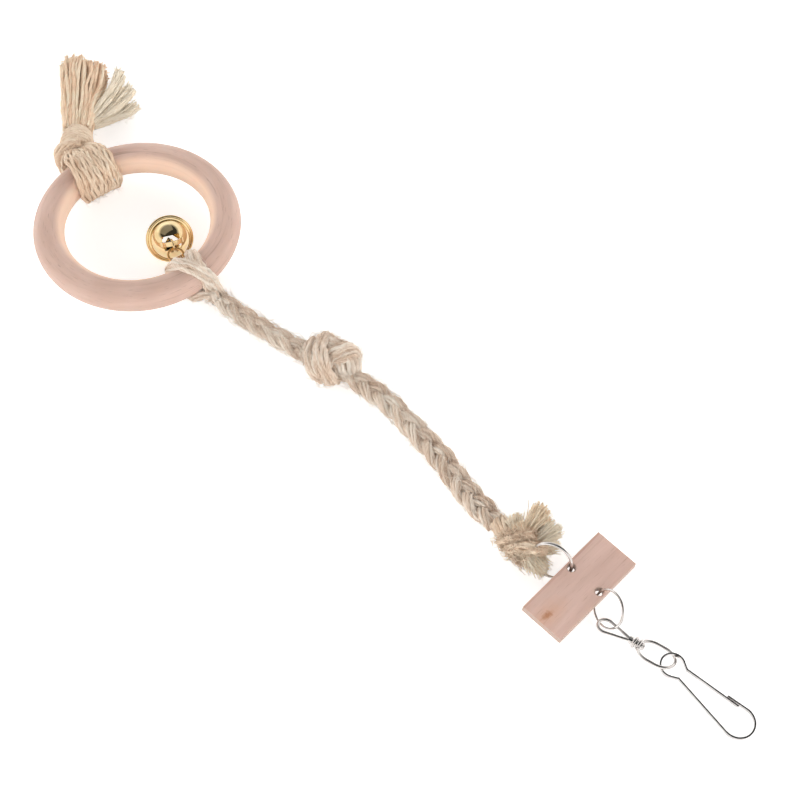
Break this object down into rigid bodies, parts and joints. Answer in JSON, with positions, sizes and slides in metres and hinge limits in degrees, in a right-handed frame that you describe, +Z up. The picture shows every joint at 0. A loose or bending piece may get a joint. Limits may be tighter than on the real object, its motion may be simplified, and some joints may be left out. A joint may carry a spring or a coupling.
{
  "type": "bird swing",
  "caption": "Turned wooden ring with a tassel and a bell, on a braided jute rope with a wooden plate, wire rings, a swivel and a sprung snap hook.",
  "frame": {"origin": "centre of the resting outline, on the surface the toy lies on", "axes": "+X from the wooden ring to the snap hook, +Z up off the surface, +Y towards the tassel's side"},
  "size_m": [0.3394, 0.0798, 0.0173],
  "materials": {
    "spring_strip": "bright nickel-plated spring strip",
    "nickel_wire": "bright nickel-plated wire",
    "plate_wood": "bare sanded wood, straight grain",
    "ring_wood": "bare turned wood, fine grain",
    "jute_rope": "braided jute, fuzzy",
    "frayed_jute": "frayed fibre, soft",
    "tassel_yarn": "loose jute yarn",
    "copper_wire": "bright copper-coloured wire",
    "brass_sheet": "bright pressed sheet",
    "pellet_steel": "plain steel ball"
  },
  "bodies": {
    "hook": {"snap_hook_body": "spring_strip"},
    "gate": {"snap_hook_gate": "spring_strip"},
    "oval_ring": {"swivel_oval_ring": "nickel_wire"},
    "eye": {"swivel_eye": "nickel_wire"},
    "jump_ring": {"plate_jump_ring": "nickel_wire"},
    "plate": {"wood_plate": "plate_wood"},
    "rope_ring": {"rope_ring": "nickel_wire"},
    "rope": {"rope_end_knot": "jute_rope", "rope_frayed_ends": "frayed_jute", "rope_upper_braid": "jute_rope", "rope_middle_knot": "jute_rope", "rope_lower_braid": "jute_rope", "rope_ring_hitch": "jute_rope"},
    "ring": {"wood_ring": "ring_wood"},
    "tassel": {"tassel_hitch": "tassel_yarn", "tassel_neck_knot": "tassel_yarn", "tassel_fringe": "tassel_yarn"},
    "bell_ring": {"bell_jump_ring": "copper_wire"},
    "bell_link": {"bell_link": "brass_sheet"},
    "bell": {"bell_crown_shell": "brass_sheet", "bell_slotted_shell": "brass_sheet"},
    "pellet": {"bell_pellet": "pellet_steel"}
  },
  "joints": [
    {"name": "gate_hinge", "type": "hinge", "parent": "hook", "child": "gate", "pos_m": [0.14501, -0.00191, 0.00253], "axis": [0.0756, 0, 0.9971], "range_deg": [-14, 0], "stiffness_Nm_per_rad": 0.02},
    {"name": "hook_eye_swing", "type": "hinge", "parent": "hook", "child": "oval_ring", "pos_m": [0.14011, -0.00397, 0.0022], "axis": [0.0756, 0, 0.9971], "range_deg": [-28, 28]},
    {"name": "swivel_spin", "type": "hinge", "parent": "oval_ring", "child": "eye", "pos_m": [0.12825, -0.00549, 0.00264], "axis": [0.9816, 0.1908, 0], "continuous": true},
    {"name": "eye_ring_swing", "type": "hinge", "parent": "eye", "child": "jump_ring", "pos_m": [0.11843, -0.0074, 0.00264], "axis": [-0.1843, 0.9482, -0.2588], "range_deg": [-20, 15]},
    {"name": "jump_ring_turn", "type": "hinge", "parent": "jump_ring", "child": "plate", "pos_m": [0.11571, -0.00398, 0.00544], "axis": [-0.2932, -0.8055, 0.515], "range_deg": [-30, 30]},
    {"name": "rope_ring_in_plate", "type": "hinge", "parent": "plate", "child": "rope_ring", "pos_m": [0.09336, -0.00395, 0.00652], "axis": [0.3059, -0.8885, 0.342], "range_deg": [-20, 20]},
    {"name": "knot_on_rope_ring", "type": "hinge", "parent": "rope_ring", "child": "rope", "pos_m": [0.09336, -0.00395, 0.00652], "axis": [0.3059, -0.8885, 0.342], "range_deg": [-20, 20]},
    {"name": "ring_in_hitch", "type": "hinge", "parent": "rope", "child": "ring", "pos_m": [-0.06174, -0.005, 0.0085], "axis": [0, 1, 0], "range_deg": [-50, 50]},
    {"name": "tassel_on_ring", "type": "hinge", "parent": "ring", "child": "tassel", "pos_m": [-0.11966, 0.00107, 0.0085], "axis": [-0.2079, -0.9781, 0], "range_deg": [-45, 45]},
    {"name": "bell_ring_turn", "type": "hinge", "parent": "rope", "child": "bell_ring", "pos_m": [-0.07108, -0.0054, 0.01015], "axis": [0.1736, 0, 0.9848], "range_deg": [-8, 25]},
    {"name": "bell_link_swing", "type": "hinge", "parent": "bell_ring", "child": "bell_link", "pos_m": [-0.0733, -0.0042, 0.01054], "axis": [0.4695, 0.8829, 0], "range_deg": [-20, 30]},
    {"name": "bell_swing", "type": "hinge", "parent": "bell_link", "child": "bell", "pos_m": [-0.07408, -0.00379, 0.01111], "axis": [0.4695, 0.8829, 0], "range_deg": [-20, 25]},
    {"name": "pellet_roll", "type": "hinge", "parent": "bell", "child": "pellet", "pos_m": [-0.07995, -0.00067, 0.00681], "axis": [0.4695, 0.8829, 0], "range_deg": [-40, 40]}
  ]
}
